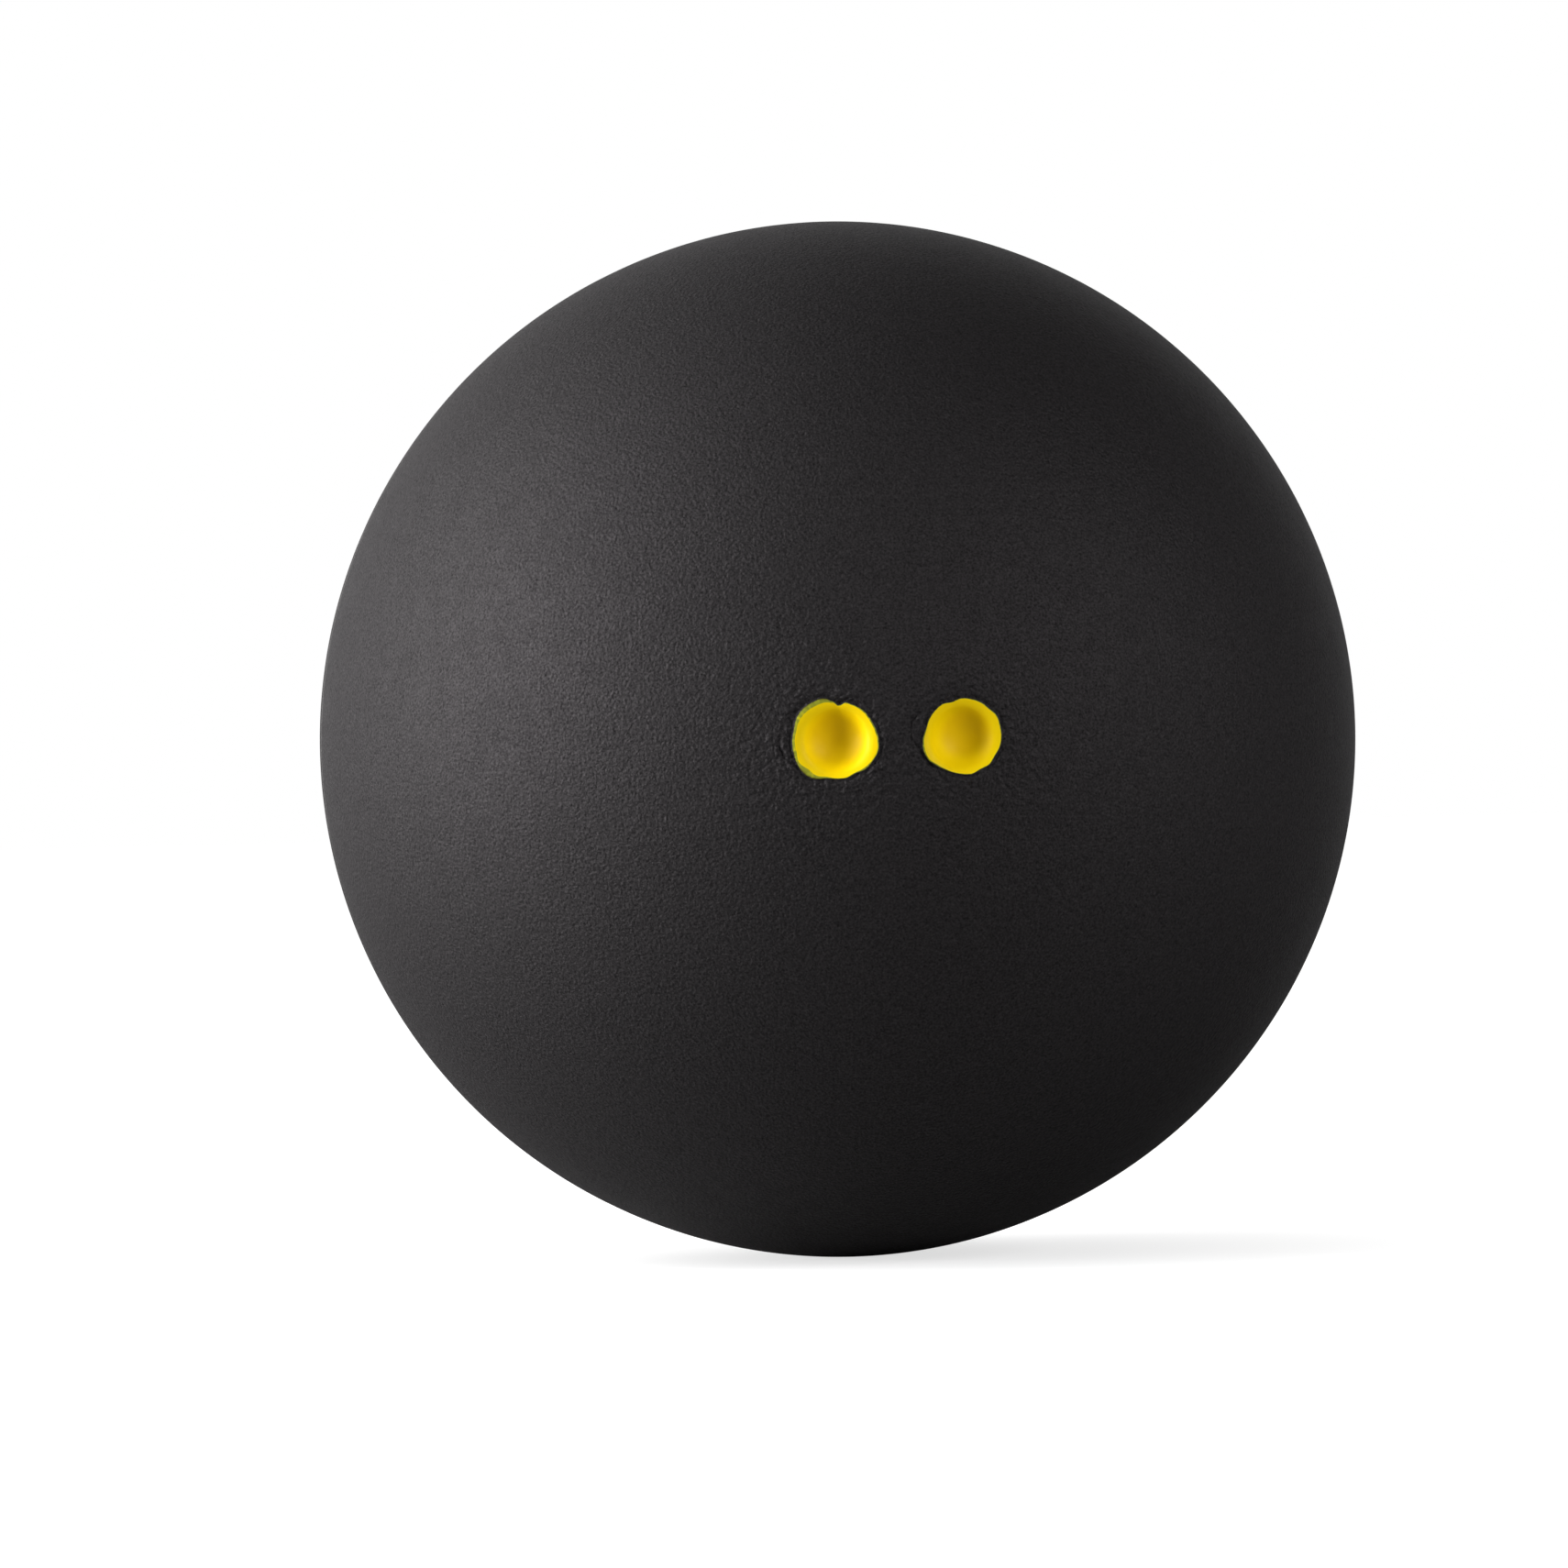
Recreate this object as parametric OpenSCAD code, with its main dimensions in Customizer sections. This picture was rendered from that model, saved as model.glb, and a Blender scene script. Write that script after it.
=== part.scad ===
// Squash ball with two dots: two rubber half shells bonded at a buffed seam, and two painted dimples.
// Millimetres. The origin is the middle of the ball, +Z is up and the dots face -Y.

/* [Ball] */
// Outside diameter of the ball
ball_d = 40; // [30:0.5:60]
// Thickness of the rubber wall
wall = 5.2; // [3:0.1:8]

/* [Seam] */
// Thickness of the cement film between the two half shells
film_t = 0.1; // [0.05:0.05:0.5]
// Radius of the bead of cement that is squeezed into the cavity
bead_r = 0.4; // [0.2:0.05:1]

/* [Dots] */
// Distance between the middles of the two dots
dot_pitch = 4.7; // [4.2:0.1:10]
// Diameter of the dish in the middle of a dimple
dish_d = 2.2; // [2:0.1:2.4]
// Depth of the dish below its own edge
dish_sag = 0.56; // [0.3:0.01:0.65]
// Radius of the rounded rim between the dish and the ball's surface
rim_r = 0.6; // [0.4:0.05:0.8]
// Diameter of the paint, which ends on the rim
dot_d = 2.8; // [2.5:0.1:3]
// Thickness of the film of paint
paint_t = 0.04; // [0.02:0.01:0.06]

/* [Hidden] */
$fn = 144;

rubber_colour = "#2a292a";
cement_colour = "#3a3836";
paint_colour = "#e6c400";

ball_r = ball_d / 2;
cavity_r = ball_r - wall;
half_film = film_t / 2;
dish_edge = dish_d / 2;
dot_r = dot_d / 2;

// Which way from the front pole each dot lies along X
left = -1;
right = 1;

// Angle from the front pole to the axis of a dot
dot_angle = asin(dot_pitch / 2 / ball_r);

// The dish is a cap of a sphere, and its half angle is seen from the middle of that sphere
dish_r = (pow(dish_edge, 2) + pow(dish_sag, 2)) / (2 * dish_sag);
dish_angle = asin(dish_edge / dish_r);

// The rim is an arc that runs on smoothly from the dish's edge to the ball's surface.
// Points of the profile are a distance from the dot's axis and a height above the ball's middle.
rim_x = dish_edge + rim_r * sin(dish_angle);
rim_z = sqrt(pow(ball_r - rim_r, 2) - pow(rim_x, 2));
rim_middle = [rim_x, rim_z];
rim_end = rim_middle * ball_r / (ball_r - rim_r);
dish_middle = [0, rim_z + (rim_r + dish_r) * cos(dish_angle)];

// The paint ends at a cut square to the rim, on the line from the rim's middle to paint_cut
paint_angle = asin((rim_x - dot_r) / rim_r);
paint_cut = rim_middle + (rim_r + dish_r) * [-sin(paint_angle), cos(paint_angle)];

// Round faces that run into each other smoothly overlap by this much, so that they cross
lap = paint_t / 20;

// One overrun serves all cuts
overrun = wall / 4;

// Puts its children on the axis of a dot, with their +Z pointing out of the ball
module at_dot(side)
    rotate([0, 0, side * dot_angle])
        rotate([90, 0, 0])
            children();

// Half of the section through a dimple whose walls are coated to the given thickness
module dimple_section(coat)
    difference() {
        union() {
            intersection() {
                translate(dish_middle)
                    circle(r = dish_r - coat);
                square(ball_d);
            }
            polygon([
                dish_middle,
                rim_middle,
                rim_end * (ball_r + overrun) / ball_r,
                [0, ball_r + overrun]
            ]);
        }
        translate(rim_middle)
            circle(r = rim_r + coat + lap);
    }

module dimple()
    rotate_extrude()
        dimple_section(0);

// Half of the hollow ball, standing on its flat joint face, a film's half thickness above the seam
module hollow_half()
    rotate_extrude()
        intersection() {
            difference() {
                circle(r = ball_r);
                circle(r = cavity_r);
            }
            translate([0, half_film])
                square(ball_d);
        }

module front_half_shell()
    color(rubber_colour)
        difference() {
            rotate([90, 0, 0])
                hollow_half();
            for (side = [left, right])
                at_dot(side)
                    dimple();
        }

module rear_half_shell()
    color(rubber_colour)
        rotate([-90, 0, 0])
            hollow_half();

// Film across the wall, flush with the outside, and the bead that bulges into the cavity
module seam_section()
    intersection() {
        circle(r = ball_r);
        union() {
            translate([cavity_r - bead_r / 2, -half_film])
                square([bead_r / 2 + wall + overrun, film_t]);
            intersection() {
                circle(r = cavity_r);
                translate([cavity_r, 0])
                    circle(r = bead_r);
            }
        }
    }

module seam_cement()
    color(cement_colour)
        rotate([90, 0, 0])
            rotate_extrude()
                seam_section();

// Half of the section through the paint, which coats the dish and the inner part of the rim
module paint_section()
    intersection() {
        difference() {
            dimple_section(0);
            dimple_section(paint_t);
        }
        polygon([dish_middle, dish_middle - [0, 2 * dish_r], rim_middle, paint_cut]);
    }

module paint_film()
    rotate_extrude()
        paint_section();

module left_dot()
    color(paint_colour)
        at_dot(left)
            paint_film();

module right_dot()
    color(paint_colour)
        at_dot(right)
            paint_film();

front_half_shell();
rear_half_shell();
seam_cement();
left_dot();
right_dot();
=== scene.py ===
"""Looks of a squash ball with two dots: buffed rubber, painted dimples, studio light and camera."""
import math

import bpy
import numpy as np
from mathutils import Matrix, Vector, geometry, noise


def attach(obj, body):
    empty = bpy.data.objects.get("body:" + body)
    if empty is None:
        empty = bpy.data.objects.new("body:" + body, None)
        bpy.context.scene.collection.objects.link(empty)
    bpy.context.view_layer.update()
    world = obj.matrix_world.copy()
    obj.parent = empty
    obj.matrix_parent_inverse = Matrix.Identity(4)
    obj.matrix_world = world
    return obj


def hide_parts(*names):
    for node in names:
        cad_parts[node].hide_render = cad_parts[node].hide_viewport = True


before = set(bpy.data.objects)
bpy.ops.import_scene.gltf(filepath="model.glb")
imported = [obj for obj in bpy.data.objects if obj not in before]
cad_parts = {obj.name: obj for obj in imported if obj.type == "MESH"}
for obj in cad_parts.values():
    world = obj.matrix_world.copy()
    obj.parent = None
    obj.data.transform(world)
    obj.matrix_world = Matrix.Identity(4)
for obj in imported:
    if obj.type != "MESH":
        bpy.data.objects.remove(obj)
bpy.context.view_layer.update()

# Real sizes of the ball, in metres, the same as in the solids
MM = 0.001
BALL_R = 20 * MM
WALL = 5.2 * MM
HALF_FILM = 0.05 * MM
BEAD_R = 0.4 * MM
DOT_PITCH = 4.7 * MM
DISH_EDGE = 1.1 * MM
DISH_SAG = 0.56 * MM
RIM_R = 0.6 * MM
PAINT_T = 0.04 * MM

CAVITY_R = BALL_R - WALL
DOT_ANGLE = math.asin(DOT_PITCH / 2 / BALL_R)

# A dimple is a dish, a cap of a sphere, and a rounded rim that runs on smoothly from it to the ball
DISH_R = (DISH_EDGE ** 2 + DISH_SAG ** 2) / (2 * DISH_SAG)
DISH_ANGLE = math.asin(DISH_EDGE / DISH_R)
RIM_X = DISH_EDGE + RIM_R * math.sin(DISH_ANGLE)
RIM_Z = math.sqrt((BALL_R - RIM_R) ** 2 - RIM_X ** 2)
DISH_Z = RIM_Z + (RIM_R + DISH_R) * math.cos(DISH_ANGLE)
MOUTH_R = RIM_X * BALL_R / (BALL_R - RIM_R)

# Spacing of the skin's points: fine in and round the dimples, growing steadily to coarse beyond
FINE_STEP = 0.05 * MM
COARSE_STEP = 0.23 * MM
FINE_REACH = 2.5 * MM
COARSE_REACH = 7 * MM
SEAM_POINTS = 548
CAVITY_POINTS = SEAM_POINTS // 4
CAVITY_RINGS = 30
BEAD_STEPS = 12

# Rings of points lie this share of a step apart, so that the triangles between them are even
RING_SHARE = math.sqrt(0.75)

# Shares of a step that are kept clear where rings of different centres meet
PLANE_CLEAR = 0.35
POLE_CLEAR = 0.25

# Flat points closer than this count as one
SAME_POINT = 1e-9

# Photograph's frame, and where the ball's outline lies in it
PHOTO_SIDE = 1710
BALL_AT_PIXEL = (913.3, 806.2)
BALL_R_PIXELS = 564.7

# Place of the camera: its distance, and its direction from the ball as the dots show it
CAMERA_DISTANCE = 20 * BALL_R
CAMERA_AZIMUTH = -6.56
CAMERA_ELEVATION = 0.12
CAMERA_ROLL = -1.27
SENSOR_WIDTH = 36
CLIP_START = 0.01
CLIP_END = 10

# Edge of each dot's opaque paint, and of the thin paint smeared past it, as shares of a 1.5 mm radius
OUTLINE_R = 1.5 * MM
OUTLINE_STEP = 15
LEFT_OPAQUE_SHARES = [1.01, 0.98, 0.96, 0.965, 0.95, 0.935, 0.91, 0.955, 0.97, 0.995, 1.005, 0.99,
                      1.0, 0.995, 1.04, 0.965, 0.975, 0.915, 0.925, 0.94, 0.915, 0.965, 1.015, 1.05]
LEFT_SMEAR_SHARES = [1.055, 1.025, 1.0, 1.0, 0.975, 0.96, 0.935, 1.075, 1.1, 1.12, 1.105, 1.06,
                     1.07, 1.08, 1.105, 1.13, 1.075, 0.96, 0.945, 0.96, 0.945, 1.02, 1.04, 1.075]
RIGHT_OPAQUE_SHARES = [0.98, 0.985, 1.01, 0.97, 0.97, 0.96, 0.95, 0.895, 0.945, 0.935, 0.93, 0.91,
                       0.95, 0.975, 0.98, 0.905, 0.87, 0.87, 0.885, 0.915, 0.895, 0.94, 0.93, 0.965]
RIGHT_SMEAR_SHARES = [1.0, 1.01, 1.035, 0.99, 0.99, 0.975, 0.965, 0.91, 0.96, 0.95, 0.945, 0.93,
                      0.985, 1.02, 1.015, 0.945, 0.89, 0.885, 0.9, 0.93, 0.91, 0.955, 0.945, 0.98]
NOTCH_ANGLE = 83
NOTCH_WIDTH = 6
NOTCH_SHARE = 0.065
NOTCH_STEEPNESS = 4

# Creases in the rubber beside the dots, as angles about the dot and shares of the same radius
LEFT_CREASES = [[(142, 1.22), (152, 1.24), (160, 1.21)], [(178, 1.36), (188, 1.38), (198, 1.33)]]
RIGHT_CREASES = [[(150, 1.24), (162, 1.33), (180, 1.29), (191, 1.14), (212, 1.04), (240, 1.08), (248, 1.15)]]

# Where each dot's paint is darkened, partly as deeper pooled paint and partly as painted shade on the
# dimple's floor and walls: how far right and up of its middle, and within what radius
LEFT_POOL_AND_SHADE = (0.02 * MM, 0.08 * MM, 1.22 * MM)
RIGHT_POOL_AND_SHADE = (0.2 * MM, 0.14 * MM, 1.08 * MM)


# Each dot draws its wrinkles and streaks from its own part of the noise
SEED_STEP = 7


def unit(v):
    """Vectors of length 1 in the directions of the given ones"""
    return v / np.linalg.norm(v, axis=-1, keepdims=True)


class Dot:
    """A dot's place on the ball: its axis out of the ball, and the directions right and up beside it"""

    def __init__(self, side, opaque, smear, creases, pool, notch):
        self.axis = np.array([math.sin(side * DOT_ANGLE), -math.cos(DOT_ANGLE), 0.0])
        self.up = np.array([0.0, 0.0, 1.0])
        self.right = np.cross(self.up, self.axis)
        self.opaque = opaque
        self.smear = smear
        self.creases = creases
        self.pool = pool
        self.notch = notch
        self.seed = SEED_STEP * side

    def flat(self, points):
        """Distance right, distance up and distance from the axis of each point"""
        x, y = points @ self.right, points @ self.up
        return x, y, np.hypot(x, y)

    def edge(self, turn, shares):
        """Radius of an outline at each angle, drawn smoothly through its shares"""
        place = np.degrees(turn) % 360 / OUTLINE_STEP
        low = np.floor(place).astype(int)
        t = place - low
        p = [np.take(shares, low + k, mode="wrap") for k in (-1, 0, 1, 2)]
        share = p[1] + 0.5 * t * (p[2] - p[0] + t * (2 * p[0] - 5 * p[1] + 4 * p[2] - p[3]
                                                    + t * (3 * (p[1] - p[2]) + p[3] - p[0])))
        if self.notch:
            off = (np.degrees(turn) - NOTCH_ANGLE + 180) % 360 - 180
            share = share - NOTCH_SHARE * np.exp(-(off / NOTCH_WIDTH) ** NOTCH_STEEPNESS)
        return share * OUTLINE_R


LEFT_DOT = Dot(-1, LEFT_OPAQUE_SHARES, LEFT_SMEAR_SHARES, LEFT_CREASES, LEFT_POOL_AND_SHADE, True)
RIGHT_DOT = Dot(1, RIGHT_OPAQUE_SHARES, RIGHT_SMEAR_SHARES, RIGHT_CREASES, RIGHT_POOL_AND_SHADE, False)
DOTS = (LEFT_DOT, RIGHT_DOT)


def dimple_height(r):
    """Height of the rubber along a dot's axis, at each distance from it"""
    dish = DISH_Z - np.sqrt(np.maximum(DISH_R ** 2 - r ** 2, 0))
    rim = RIM_Z + np.sqrt(np.maximum(RIM_R ** 2 - (RIM_X - r) ** 2, 0))
    ball = np.sqrt(np.maximum(BALL_R ** 2 - r ** 2, 0))
    return np.where(r < DISH_EDGE, dish, np.where(r < MOUTH_R, rim, ball))


def noise_at(points, size, seed):
    """Smooth noise between -1 and 1, with lumps of the given size"""
    scaled = points / size + seed
    return np.array([noise.noise(Vector(p)) for p in scaled])


def bell(x, width):
    """1 at zero, falling smoothly to next to nothing at twice the width"""
    return np.exp(-(x / width) ** 2)


def distance_to_line(x, y, line):
    """Least distance of each flat point from a line of corners, given as angles and shares of a radius"""
    corners = [(s * OUTLINE_R * math.cos(math.radians(a)), s * OUTLINE_R * math.sin(math.radians(a)))
               for a, s in line]
    least = np.full(len(x), BALL_R)
    for (x0, y0), (x1, y1) in zip(corners, corners[1:]):
        dx, dy = x1 - x0, y1 - y0
        t = np.clip(((x - x0) * dx + (y - y0) * dy) / (dx * dx + dy * dy), 0, 1)
        least = np.minimum(least, np.hypot(x - x0 - t * dx, y - y0 - t * dy))
    return least


def smooth_step(x):
    """Climbs smoothly from 0 at zero to 1 at one, and is level outside"""
    x = np.clip(x, 0, 1)
    return x * x * (3 - 2 * x)


# Relief of the rubber all over: soft waves and lumps from the buffing, and a shallow groove along the seam
WAVE_SIZE = 2.6 * MM
WAVE_HEIGHT = 0.002 * MM
WAVE_SEED = 3.1
LUMP_SIZE = 0.7 * MM
LUMP_HEIGHT = 0.001 * MM
LUMP_SEED = 11.7
SEAM_WIDTH = 0.16 * MM
SEAM_DEPTH = 0.02 * MM

# Relief round each dot: wrinkles that fade with the distance, creases, and a groove along the paint's edge.
# A wrinkle's height comes from a noise, cut off at its crest and counted from its level.
WRINKLE_REACH = 0.7 * MM
WRINKLE_REACHES = 2.2
WRINKLE_LENGTH = 0.26 * MM
WRINKLE_WIDTH = 0.19 * MM
WRINKLE_HEIGHT = 0.14 * MM
WRINKLE_CREST = 0.5
WRINKLE_LEVEL = 0.2
GROOVE_WIDTH = 0.07 * MM
GROOVE_DEPTH = 0.07 * MM
GROOVE_AWAY = 1.3 * GROOVE_WIDTH
CREASE_WIDTH = 0.06 * MM
CREASE_DEPTH = 0.07 * MM

# How far past the paint the skin is bumpier than elsewhere
BUMPY_REACH = 2.8 * MM


def rubber_surface(directions):
    """Points of the ball's outer skin in the given directions from its middle"""
    points = directions * BALL_R
    lift = WAVE_HEIGHT * noise_at(points, WAVE_SIZE, WAVE_SEED)
    lift += LUMP_HEIGHT * noise_at(points, LUMP_SIZE, LUMP_SEED)
    lift -= SEAM_DEPTH * bell(np.abs(points[:, 1]) - HALF_FILM, SEAM_WIDTH)
    for dot in DOTS:
        x, y, r = dot.flat(points)
        facing = points @ dot.axis > 0
        near = np.nonzero(facing & (r < MOUTH_R + WRINKLE_REACH * WRINKLE_REACHES))[0]
        if not len(near):
            continue
        x, y, r = x[near], y[near], r[near]
        turn = np.arctan2(y, x)
        sunk = dimple_height(r)
        points[near] = np.outer(x, dot.right) + np.outer(y, dot.up) + np.outer(sunk, dot.axis)
        edge = dot.edge(turn, dot.smear)
        past = r - edge
        around = edge / WRINKLE_LENGTH
        polar = np.stack([np.cos(turn) * around, np.sin(turn) * around, r / WRINKLE_WIDTH], axis=1)
        fold = np.abs(noise_at(polar, 1, dot.seed))
        fade = np.clip(past / GROOVE_WIDTH, 0, 1) * bell(np.maximum(past, 0), WRINKLE_REACH)
        lift[near] += WRINKLE_HEIGHT * fade * (np.minimum(fold, WRINKLE_CREST) - WRINKLE_LEVEL)
        lift[near] -= GROOVE_DEPTH * bell(past - GROOVE_AWAY, GROOVE_WIDTH)
        for crease in dot.creases:
            lift[near] -= CREASE_DEPTH * bell(distance_to_line(x, y, crease), CREASE_WIDTH)
    return points + unit(directions) * lift[:, None]


def near_dots(directions, dots):
    """How near to a dot's edge each direction lies: 1 at the edge, and less and less past it"""
    near = np.zeros(len(directions))
    for dot in dots:
        x, y, r = dot.flat(directions * BALL_R)
        past = r - dot.edge(np.arctan2(y, x), dot.smear)
        near = np.maximum(near, bell(np.maximum(past, 0), BUMPY_REACH))
    return near


def ring_directions(middle, right, up, r, count, turn):
    """Directions evenly round a circle of radius r about an axis of the ball"""
    angles = turn + np.arange(count) * 2 * math.pi / count
    around = np.outer(np.cos(angles), right) + np.outer(np.sin(angles), up)
    return around * (r / BALL_R) + middle * math.sqrt(1 - (r / BALL_R) ** 2)


def step_at(r):
    """Spacing of the skin's points at a distance from a dot's axis"""
    share = np.clip((r - FINE_REACH) / (COARSE_REACH - FINE_REACH), 0, 1)
    return FINE_STEP + share * (COARSE_STEP - FINE_STEP)


def dimple_directions(dot):
    """Directions in rings about a dot, as far as the plane halfway to the other dot"""
    found = [dot.axis[None, :]]
    r, turn = FINE_STEP, 0.0
    while r < COARSE_REACH:
        count = math.ceil(2 * math.pi * r / step_at(r))
        ring = ring_directions(dot.axis, dot.right, dot.up, r, count, turn)
        own = ring[:, 0] * np.sign(dot.axis[0]) * BALL_R > PLANE_CLEAR * step_at(r)
        found.append(ring[own])
        turn += math.pi / count
        r += step_at(r) * RING_SHARE
    return np.concatenate(found)


def hemisphere_directions(dots):
    """Directions over the half of the ball about -Y, the last ones round the seam"""
    pole, right, up = np.array([0.0, -1.0, 0.0]), np.array([1.0, 0.0, 0.0]), np.array([0.0, 0.0, 1.0])
    found = [dimple_directions(dot) for dot in dots]
    if not dots:
        found.append(pole[None, :])
    angle_step = COARSE_STEP * RING_SHARE / BALL_R
    seam_angle = math.acos(HALF_FILM / BALL_R)
    ring_count = round(seam_angle / angle_step)
    for k in range(1, ring_count):
        r = BALL_R * math.sin(seam_angle * k / ring_count)
        count = math.ceil(2 * math.pi * r / COARSE_STEP)
        ring = ring_directions(pole, right, up, r, count, k % 2 * math.pi / count)
        for dot in dots:
            away = dot.flat(ring * BALL_R)[2] > COARSE_REACH + COARSE_STEP * POLE_CLEAR
            ring = ring[away | (ring @ dot.axis < 0)]
        found.append(ring)
    found.append(ring_directions(pole, right, up, BALL_R * math.sin(seam_angle), SEAM_POINTS, 0.0))
    return np.concatenate(found)


def triangulate(directions):
    """Triangles between directions about -Y, found on the plane that they project to from +Y"""
    flat = directions[:, [0, 2]] / (1 - directions[:, 1:2])
    coords = [Vector(p) for p in flat]
    _, _, faces, origin, _, _ = geometry.delaunay_2d_cdt(coords, [], [], 0, SAME_POINT)
    kept = [o[0] for o in origin]
    return [tuple(kept[i] for i in face) for face in faces]


def half_shell(name, dots, turned):
    """A closed half of the ball: skin, flat joint face and cavity"""
    directions = hemisphere_directions(dots)
    faces = triangulate(directions)
    if turned:
        directions = directions * np.array([-1.0, -1.0, 1.0])
    verts = list(rubber_surface(directions))
    seam = list(range(len(verts) - SEAM_POINTS, len(verts)))
    ratio = SEAM_POINTS // CAVITY_POINTS
    front = 1 if turned else -1
    inner_angle = math.acos(HALF_FILM / CAVITY_R)
    rings = []
    for k in range(CAVITY_RINGS):
        angle = inner_angle * (1 - k / CAVITY_RINGS)
        rings.append(list(range(len(verts), len(verts) + CAVITY_POINTS)))
        for i in range(CAVITY_POINTS):
            turn = 2 * math.pi * i / CAVITY_POINTS
            x = CAVITY_R * math.sin(angle) * math.cos(turn) * -front
            y = front * CAVITY_R * math.cos(angle)
            z = CAVITY_R * math.sin(angle) * math.sin(turn)
            verts.append((x, y, z))
    verts.append((0.0, front * CAVITY_R, 0.0))
    for i in range(CAVITY_POINTS):
        j = (i + 1) % CAVITY_POINTS
        for k in range(ratio):
            faces.append((seam[i * ratio + k], rings[0][i], seam[(i * ratio + k + 1) % SEAM_POINTS]))
        faces.append((seam[j * ratio], rings[0][i], rings[0][j]))
        for low, high in zip(rings, rings[1:]):
            faces.append((low[i], high[i], high[j], low[j]))
        faces.append((rings[-1][i], len(verts) - 1, rings[-1][j]))
    piece = smooth_piece(name, verts, faces)
    bumpy = np.zeros(len(verts))
    bumpy[:len(directions)] = near_dots(directions, dots)
    add_layer(piece, "bumpy", bumpy)
    return piece


def add_layer(piece, name, values):
    """Keeps a number at each point of a piece for its material"""
    layer = piece.data.attributes.new(name, "FLOAT", "POINT")
    layer.data.foreach_set("value", values)


def smooth_piece(name, verts, faces):
    """A smoothly shaded object of the given points and faces"""
    mesh = bpy.data.meshes.new(name)
    mesh.from_pydata([tuple(v) for v in verts], [], faces)
    mesh.validate()
    mesh.shade_smooth()
    piece = bpy.data.objects.new(name, mesh)
    bpy.context.collection.objects.link(piece)
    return piece


def seam_ring():
    """The cement film across the wall, flush in the buffed seam, and its bead in the cavity"""
    outer = BALL_R - SEAM_DEPTH
    profile = [(outer, -HALF_FILM), (outer + HALF_FILM / 4, 0), (outer, HALF_FILM)]
    bead_start = math.sqrt(CAVITY_R ** 2 - HALF_FILM ** 2)
    profile.append((bead_start, HALF_FILM))
    touch = 2 * math.asin(BEAD_R / 2 / CAVITY_R)
    first = math.pi / 2 + touch / 2
    for k in range(BEAD_STEPS + 1):
        a = first + (2 * math.pi - 2 * first) * k / BEAD_STEPS
        profile.append((CAVITY_R + BEAD_R * math.cos(a), BEAD_R * math.sin(a)))
    profile.append((bead_start, -HALF_FILM))
    count = len(profile)
    verts, faces = [], []
    for i in range(SEAM_POINTS):
        turn = 2 * math.pi * i / SEAM_POINTS
        for r, y in profile:
            verts.append((r * math.cos(turn), y, r * math.sin(turn)))
        j = (i + 1) % SEAM_POINTS
        for k in range(count):
            m = (k + 1) % count
            faces.append((i * count + k, i * count + m, j * count + m, j * count + k))
    return smooth_piece("seam_line", verts, faces)


# Mesh of a dot's paint, how wide the edge of its darker patch is (partly pooled paint, partly painted
# shade), and how deep in the rubber its underside lies
DOT_TURNS = 220
DOT_RINGS = 40
SMEAR_RINGS = 6
POOL_AND_SHADE_EDGE = 0.5 * MM
UNDERSIDE = -0.004 * MM

# The paint thins to that of the smears over this slope. The smears keep a least width, cover the rubber in
# part, and more so in streaks.
EDGE_SLOPE = 0.4 * MM
SMEAR_T = 0.012 * MM
SMEAR_LEAST = 0.004 * MM
SMEAR_COVER = 0.6
SMEAR_STEEPNESS = 4
STREAK_SIZE = 0.12 * MM
STREAK_COVER = 0.35


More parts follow.
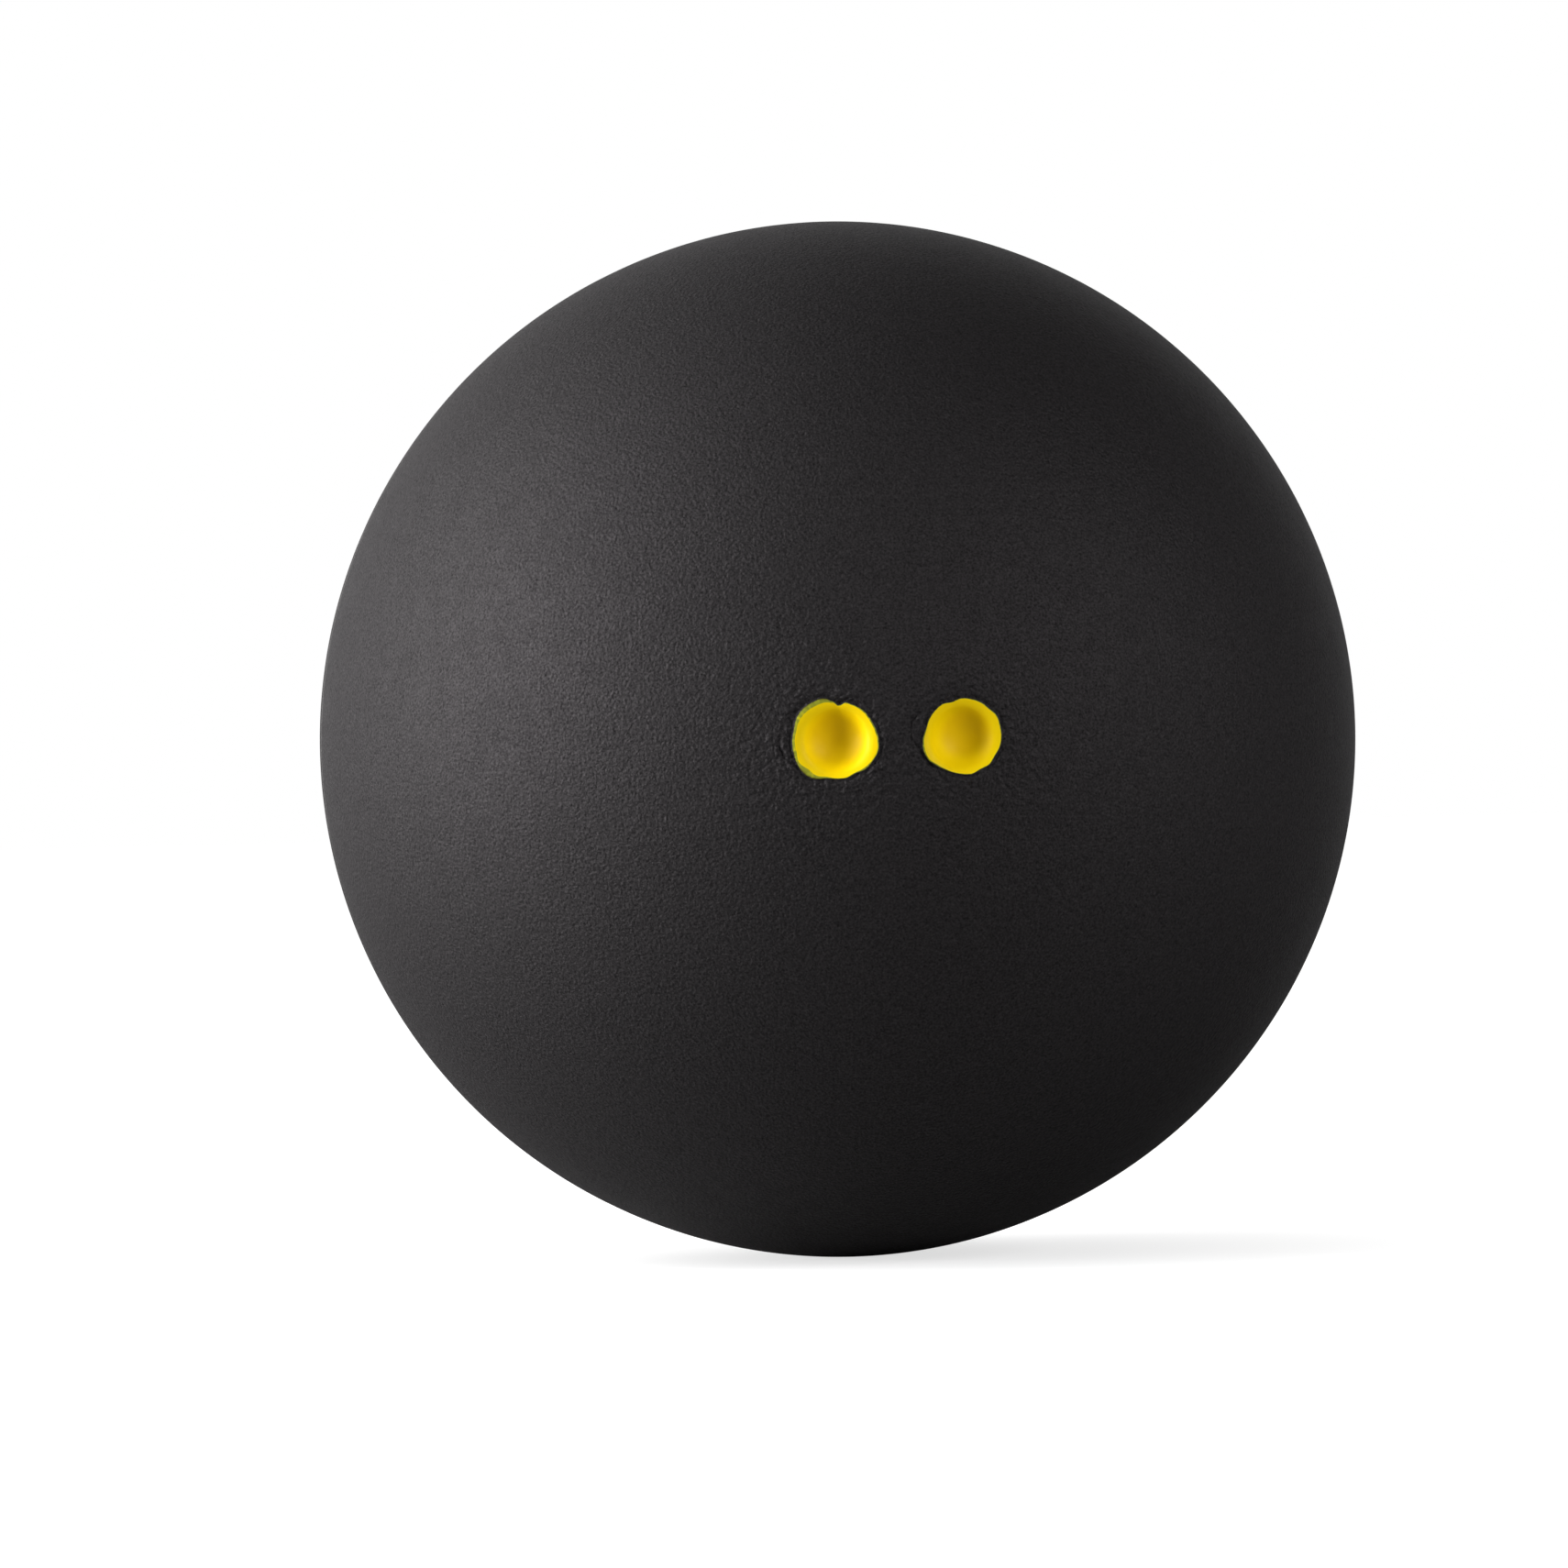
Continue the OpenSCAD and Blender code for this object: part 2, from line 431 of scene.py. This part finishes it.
def paint_piece(name, dot):
    """The film of paint in a dimple, thick to its opaque edge and thin over the smears past it, with a
    darker patch that is partly pooled paint and partly painted shade
    """
    turns = np.arange(DOT_TURNS) * 2 * math.pi / DOT_TURNS
    edge, outer = dot.edge(turns, dot.opaque), dot.edge(turns, dot.smear)
    shares = np.sin(np.linspace(0, 1, DOT_RINGS + 1)[1:] * math.pi / 2)
    radii = [s * edge for s in shares]
    thick = [SMEAR_T + (PAINT_T - SMEAR_T) * smooth_step((edge - r) / EDGE_SLOPE) for r in radii]
    cover = [np.ones(DOT_TURNS) for _ in radii]
    for k in range(1, SMEAR_RINGS + 1):
        t = k / SMEAR_RINGS
        radii.append(edge + t * np.maximum(outer - edge, SMEAR_LEAST))
        thick.append(np.full(DOT_TURNS, SMEAR_T * (1 - t * t)))
        streak = noise_at(np.stack([turns * edge, radii[-1] / 2, turns * 0], axis=1), STREAK_SIZE, dot.seed)
        cover.append(np.clip(SMEAR_COVER * (1 - t ** SMEAR_STEEPNESS) + STREAK_COVER * streak, 0, 1))
    flat_r, flat_turn = np.concatenate([[0.0], *radii]), np.concatenate([[0.0], *[turns] * len(radii)])
    flat_t = np.concatenate([[PAINT_T], *thick])
    flat_cover = np.concatenate([[1.0], *cover])
    # Darker patch of paint in the dish: partly deeper, pooled paint and partly painted shade
    pool_and_shade_x, pool_and_shade_y, pool_and_shade_r = dot.pool
    off_pool_and_shade = np.hypot(flat_r * np.cos(flat_turn) - pool_and_shade_x, flat_r * np.sin(flat_turn) - pool_and_shade_y)
    pool = smooth_step((pool_and_shade_r - off_pool_and_shade) / POOL_AND_SHADE_EDGE)
    around = np.outer(np.cos(flat_turn), dot.right) + np.outer(np.sin(flat_turn), dot.up)
    share = flat_r / BALL_R
    directions = around * share[:, None] + dot.axis * np.sqrt(1 - share ** 2)[:, None]
    base = rubber_surface(directions)
    under = base + dot.axis * UNDERSIDE
    top = base + dot.axis * flat_t[:, None]
    verts = [*top, *under]
    size = len(top)
    faces = []
    ring_count = len(radii)
    for i in range(DOT_TURNS):
        j = (i + 1) % DOT_TURNS
        faces.append((0, 1 + i, 1 + j))
        faces.append((size, size + 1 + j, size + 1 + i))
        for k in range(ring_count - 1):
            a, b = 1 + k * DOT_TURNS, 1 + (k + 1) * DOT_TURNS
            faces.append((a + i, b + i, b + j, a + j))
            faces.append((size + a + i, size + a + j, size + b + j, size + b + i))
        last = 1 + (ring_count - 1) * DOT_TURNS
        faces.append((last + i, size + last + i, size + last + j, last + j))
    piece = smooth_piece(name, verts, faces)
    add_layer(piece, "cover", np.tile(flat_cover, 2))
    add_layer(piece, "pool", np.tile(pool, 2))
    return piece


# Most values of a noise lie between these two, and a noise is soft or rough within its own lumps
NOISE_LOW = 0.3
NOISE_HIGH = 0.7
SOFT = 1.0
ROUGH = 2.0

# Where a ramp's new stops start, before they are set
HALFWAY = 0.5


class Shader:
    """Nodes of one material or world, made and linked in short calls"""

    def __init__(self, owner):
        self.owner = owner
        owner.use_nodes = True
        self.tree = owner.node_tree
        self.tree.nodes.clear()
        kind = "ShaderNodeOutputWorld" if isinstance(owner, bpy.types.World) else "ShaderNodeOutputMaterial"
        self.output = self.node(kind)

    def node(self, kind, **values):
        """A new node, with the given values set on it or on its sockets"""
        made = self.tree.nodes.new(kind)
        for key, value in values.items():
            if hasattr(made, key):
                setattr(made, key, value)
            else:
                self.put(made, key.replace("_", " "), value)
        return made

    def put(self, made, socket, value):
        """Links a socket's output to a node's socket, or sets a plain value on it"""
        target = made.inputs[socket]
        if isinstance(value, bpy.types.NodeSocket):
            self.tree.links.new(value, target)
        else:
            target.default_value = value

    def math(self, operation, first, second):
        """The result of an operation on two values"""
        made = self.node("ShaderNodeMath", operation=operation)
        self.put(made, 0, first)
        self.put(made, 1, second)
        return made.outputs["Value"]

    def smooth_range(self, value, start, end, low):
        """A value that climbs smoothly from low at the start to 1 at the end"""
        made = self.node("ShaderNodeMapRange", interpolation_type="SMOOTHSTEP")
        self.put(made, "Value", value)
        self.put(made, "From Min", start)
        self.put(made, "From Max", end)
        self.put(made, "To Min", low)
        return made.outputs["Result"]

    def spread(self, value, low, high):
        """A noise brought to a range of its own"""
        made = self.node("ShaderNodeMapRange", clamp=False)
        self.put(made, "Value", value)
        self.put(made, "From Min", NOISE_LOW)
        self.put(made, "From Max", NOISE_HIGH)
        self.put(made, "To Min", low)
        self.put(made, "To Max", high)
        return made.outputs["Result"]

    def layer(self, name):
        """A number that a piece keeps at each of its points"""
        return self.node("ShaderNodeAttribute", attribute_name=name).outputs["Fac"]

    def join(self, made, first, second, at):
        """Links two outputs to a node's sockets, from the one at the given place on"""
        self.tree.links.new(first, made.inputs[at])
        self.tree.links.new(second, made.inputs[at + 1])

    def noise(self, size, detail, where):
        """Noise with lumps of the given size"""
        made = self.node("ShaderNodeTexNoise", Scale=1 / size, Detail=detail)
        self.tree.links.new(where, made.inputs["Vector"])
        return made.outputs["Fac"]

    def ramp(self, factor, stops):
        """A colour that runs through the stops, each a place and a colour, as the factor grows"""
        made = self.node("ShaderNodeValToRGB", Fac=factor)
        elements = made.color_ramp.elements
        while len(elements) < len(stops):
            elements.new(HALFWAY)
        for element, (position, colour) in zip(elements, stops):
            element.position = position
            element.color = (*colour, 1)
        return made.outputs["Color"]

    def finish(self, surface):
        """Links the finished surface to the output, and gives back what the nodes belong to"""
        self.tree.links.new(surface, self.output.inputs["Surface"])
        return self.owner


# Rubber: the sizes of its specks, grain, blotches and lumps, its colours, the ranges of its roughness and
# gloss, its gloss's tint, its relief's height, and how much higher the lumps near the dots are
SPECK_SIZE = 0.08 * MM
GRAIN_SIZE = 0.13 * MM
BLOTCH_SIZE = 1.1 * MM
BUMPY_SIZE = 0.22 * MM
RUBBER_COLOURS = [(NOISE_LOW, (0.0048, 0.0045, 0.0047)), (NOISE_HIGH, (0.0098, 0.0091, 0.0095))]
RUBBER_ROUGHNESS = (0.67, 0.71)
RUBBER_GLOSS = (0.15, 0.45)
RUBBER_TINT = (1.0, 0.92, 0.96, 1.0)
RUBBER_RELIEF = 0.045 * MM
BUMPY_SHARE = 1.8

# Cement of the seam: the size of its grain, its colours and its roughness
CEMENT_GRAIN_SIZE = 0.25 * MM
CEMENT_COLOURS = [(NOISE_LOW, (0.020, 0.019, 0.018)), (NOISE_HIGH, (0.034, 0.032, 0.030))]
CEMENT_ROUGHNESS = 0.5

# Paint: its colour by how well it covers the rubber, what its darker patch in a dimple multiplies that by
# (partly pooled paint, partly painted shade), its slight waves, its roughness and its gloss
PAINT_COLOURS = [(0.0, (0.03, 0.018, 0.006)), (0.3, (0.18, 0.19, 0.02)),
                 (0.62, (0.33, 0.35, 0.025)), (1.0, (0.96, 0.68, 0.001))]
POOL_AND_SHADE_COLOURS = [(0.0, (1.0, 1.0, 1.0)), (1.0, (0.85, 0.79, 0.6))]
MOTTLE_SIZE = 0.5 * MM
MOTTLE_HEIGHT = 0.02 * MM
MOTTLE_STRENGTH = 0.4
PAINT_ROUGHNESS = 0.45
PAINT_GLOSS = 0.08


def rubber_material():
    """Buffed black rubber, with a fine grain and bumpier skin near the dots"""
    shader = Shader(bpy.data.materials.new("buffed_rubber"))
    where = shader.node("ShaderNodeTexCoord").outputs["Object"]
    speck = shader.noise(SPECK_SIZE, SOFT, where)
    grain = shader.noise(GRAIN_SIZE, ROUGH, where)
    blotch = shader.noise(BLOTCH_SIZE, ROUGH, where)
    surface = shader.node("ShaderNodeBsdfPrincipled")
    shader.put(surface, "Base Color", shader.ramp(grain, RUBBER_COLOURS))
    shader.put(surface, "Roughness", shader.spread(blotch, *RUBBER_ROUGHNESS))
    shader.put(surface, "Specular IOR Level", shader.spread(speck, *RUBBER_GLOSS))
    shader.put(surface, "Specular Tint", RUBBER_TINT)
    lumps = shader.math("MULTIPLY", shader.noise(BUMPY_SIZE, SOFT, where), shader.layer("bumpy"))
    height = shader.math("ADD", grain, shader.math("MULTIPLY", lumps, BUMPY_SHARE))
    bump = shader.node("ShaderNodeBump", Distance=RUBBER_RELIEF, Height=height)
    shader.put(surface, "Normal", bump.outputs["Normal"])
    return shader.finish(surface.outputs["BSDF"])


def cement_material():
    """Cured rubber cement, a little paler than the rubber"""
    shader = Shader(bpy.data.materials.new("rubber_cement"))
    where = shader.node("ShaderNodeTexCoord").outputs["Object"]
    grain = shader.noise(CEMENT_GRAIN_SIZE, ROUGH, where)
    surface = shader.node("ShaderNodeBsdfPrincipled")
    shader.put(surface, "Base Color", shader.ramp(grain, CEMENT_COLOURS))
    shader.put(surface, "Roughness", CEMENT_ROUGHNESS)
    return shader.finish(surface.outputs["BSDF"])


def paint_material():
    """Yellow paint, darker in the dimples, partly as pooled paint and partly as painted shade, and greenish
    where it is thin over the rubber
    """
    shader = Shader(bpy.data.materials.new("dot_paint"))
    where = shader.node("ShaderNodeTexCoord").outputs["Object"]
    mottle = shader.noise(MOTTLE_SIZE, SOFT, where)
    colour = shader.ramp(shader.layer("cover"), PAINT_COLOURS)
    # Darkening in the dimples: partly pooled paint, partly painted shade
    depth = shader.ramp(shader.layer("pool"), POOL_AND_SHADE_COLOURS)
    deepened_and_shaded = shader.node("ShaderNodeVectorMath", operation="MULTIPLY")
    shader.join(deepened_and_shaded, colour, depth, 0)
    bump = shader.node("ShaderNodeBump", Strength=MOTTLE_STRENGTH, Distance=MOTTLE_HEIGHT, Height=mottle)
    surface = shader.node("ShaderNodeBsdfPrincipled")
    shader.put(surface, "Base Color", deepened_and_shaded.outputs["Vector"])
    shader.put(surface, "Roughness", PAINT_ROUGHNESS)
    shader.put(surface, "Specular IOR Level", PAINT_GLOSS)
    shader.put(surface, "Normal", bump.outputs["Normal"])
    return shader.finish(surface.outputs["BSDF"])


def add_pieces():
    """The five pieces, each in the place of its solid"""
    rubber = rubber_material()
    pieces = [
        (half_shell("front_rubber", DOTS, False), "front_half_shell", "rubber", rubber),
        (half_shell("rear_rubber", (), True), "rear_half_shell", "rubber", rubber),
        (seam_ring(), "seam_cement", "cement", cement_material()),
    ]
    paint = paint_material()
    pieces.append((paint_piece("left_paint", LEFT_DOT), "left_dot", "dot_paint", paint))
    pieces.append((paint_piece("right_paint", RIGHT_DOT), "right_dot", "dot_paint", paint))
    for piece, node, slot, material in pieces:
        piece.data.materials.append(material)
        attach(piece, "root")
        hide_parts(node)


# Studio: sizes and places of the floor and lamps, in metres and degrees about the camera's line
FLOOR_SIZE = 3.0
SHADOW_INNER = 0.003
SHADOW_OUTER = 0.038
SHADOW_GLOW = 0.4
LAMP_DISTANCE = 0.5

# Each lamp: its name, angle off the camera's line, turn about that line, side in metres and power in watts
LAMPS = [
    ("key_lamp", 85, 160, 0.45, 5.6),
    ("left_lamp", 76, 178, 0.16, 1.9),
    ("upper_right_lamp", 58, 32, 0.16, 0.9),
    ("right_lamp", 66, 10, 0.16, 0.4),
    ("front_lamp", 30, 60, 0.6, 0.35),
]

# The room's dim fill, and where the white paper behind the ball starts and is full, as depths along +Y
WHITE = (1, 1, 1, 1)
FILL = 0.03
PAPER_STARTS = 0.5
PAPER_WHITE = 1.0

# The floor's own colour, and how far behind the ball its white paper starts and is full, in metres
FLOOR_COLOUR = (0.35, 0.35, 0.35, 1)
FLOOR_PAPER_STARTS = 0.1
FLOOR_PAPER_WHITE = 0.6


def camera_axes():
    """Directions right, up and back of a camera that looks straight at the ball"""
    azimuth, elevation = math.radians(CAMERA_AZIMUTH), math.radians(CAMERA_ELEVATION)
    back = Vector((math.sin(azimuth) * math.cos(elevation), -math.cos(azimuth) * math.cos(elevation),
                   math.sin(elevation)))
    right = Vector((0, 0, 1)).cross(back).normalized()
    up = back.cross(right)
    roll = Matrix.Rotation(math.radians(CAMERA_ROLL), 3, back)
    return roll @ right, roll @ up, back


def add_camera():
    """Camera at the photograph's angle, turned so that the ball lands where it lies in the photograph"""
    right, up, back = camera_axes()
    focal = BALL_R_PIXELS * math.sqrt((CAMERA_DISTANCE / BALL_R) ** 2 - 1)
    across = (BALL_AT_PIXEL[0] - PHOTO_SIDE / 2) / focal
    above = (PHOTO_SIDE / 2 - BALL_AT_PIXEL[1]) / focal
    place = back * CAMERA_DISTANCE
    target = -(right * across + up * above) * CAMERA_DISTANCE
    back = (place - target).normalized()
    right = up.cross(back).normalized()
    up = back.cross(right)
    data = bpy.data.cameras.new("camera")
    data.sensor_width = SENSOR_WIDTH
    data.lens = SENSOR_WIDTH * focal / PHOTO_SIDE
    data.clip_start = CLIP_START
    data.clip_end = CLIP_END
    camera = bpy.data.objects.new("camera", data)
    turned = Matrix((right, up, back)).transposed().to_4x4()
    camera.matrix_world = Matrix.Translation(place) @ turned
    bpy.context.collection.objects.link(camera)
    bpy.context.scene.camera = camera


def add_lamp(name, angle, turn, size, power):
    """A square lamp that faces the ball, off the camera's line by angle, and turned about that line"""
    right, up, back = camera_axes()
    a, t = math.radians(angle), math.radians(turn)
    away = back * math.cos(a) + (right * math.cos(t) + up * math.sin(t)) * math.sin(a)
    data = bpy.data.lights.new(name, "AREA")
    data.size = size
    data.energy = power
    lamp = bpy.data.objects.new(name, data)
    turned = away.to_track_quat("Z", "Y").to_matrix().to_4x4()
    lamp.matrix_world = Matrix.Translation(away * LAMP_DISTANCE) @ turned
    bpy.context.collection.objects.link(lamp)


def background_rays(shader, share):
    """Strength of a white background: whole to the camera, and the given share to reflections"""
    path = shader.node("ShaderNodeLightPath")
    mirrored = shader.math("MAXIMUM", path.outputs["Is Glossy Ray"], path.outputs["Is Transmission Ray"])
    return shader.math("MAXIMUM", path.outputs["Is Camera Ray"], shader.math("MULTIPLY", mirrored, share))


def add_world():
    """White studio behind the ball, seen by camera and reflections alone, and a dim room on the near side"""
    world = bpy.data.worlds.new("studio")
    bpy.context.scene.world = world
    shader = Shader(world)
    toward = shader.node("ShaderNodeTexCoord").outputs["Generated"]
    depth = shader.node("ShaderNodeSeparateXYZ")
    shader.put(depth, "Vector", toward)
    behind = shader.smooth_range(depth.outputs["Y"], PAPER_STARTS, PAPER_WHITE, 0.0)
    fill = shader.node("ShaderNodeBackground", Color=WHITE, Strength=FILL)
    white = shader.node("ShaderNodeBackground", Color=WHITE)
    mix = shader.node("ShaderNodeMixShader", Fac=background_rays(shader, behind))
    shader.join(mix, fill.outputs["Background"], white.outputs["Background"], 1)
    shader.finish(mix.outputs["Shader"])


def floor_material():
    """Pale floor that shows white, but for the ball's soft shadow near the point that it rests on"""
    shader = Shader(bpy.data.materials.new("floor"))
    where = shader.node("ShaderNodeTexCoord").outputs["Object"]
    away = shader.node("ShaderNodeVectorMath", operation="LENGTH")
    shader.put(away, 0, where)
    glow = shader.smooth_range(away.outputs["Value"], SHADOW_INNER, SHADOW_OUTER, SHADOW_GLOW)
    depth = shader.node("ShaderNodeSeparateXYZ")
    shader.put(depth, "Vector", where)
    behind = shader.smooth_range(depth.outputs["Y"], FLOOR_PAPER_STARTS, FLOOR_PAPER_WHITE, 0.0)
    strength = shader.math("MULTIPLY", glow, background_rays(shader, behind))
    pale = shader.node("ShaderNodeBsdfDiffuse", Color=FLOOR_COLOUR)
    white = shader.node("ShaderNodeEmission", Strength=strength)
    both = shader.node("ShaderNodeAddShader")
    shader.join(both, pale.outputs["BSDF"], white.outputs["Emission"], 0)
    return shader.finish(both.outputs["Shader"])


def add_floor():
    """Floor under the ball, which is part of the stage and not of the ball"""
    half = FLOOR_SIZE / 2
    corners = [(x * half, y * half, -BALL_R) for x, y in ((-1, -1), (1, -1), (1, 1), (-1, 1))]
    mesh = bpy.data.meshes.new("floor")
    mesh.from_pydata(corners, [], [(0, 1, 2, 3)])
    floor = bpy.data.objects.new("floor", mesh)
    bpy.context.collection.objects.link(floor)
    mesh.materials.append(floor_material())


add_camera()
add_pieces()
add_floor()
add_world()
for lamp in LAMPS:
    add_lamp(*lamp)
bpy.context.scene.view_settings.view_transform = "Standard"
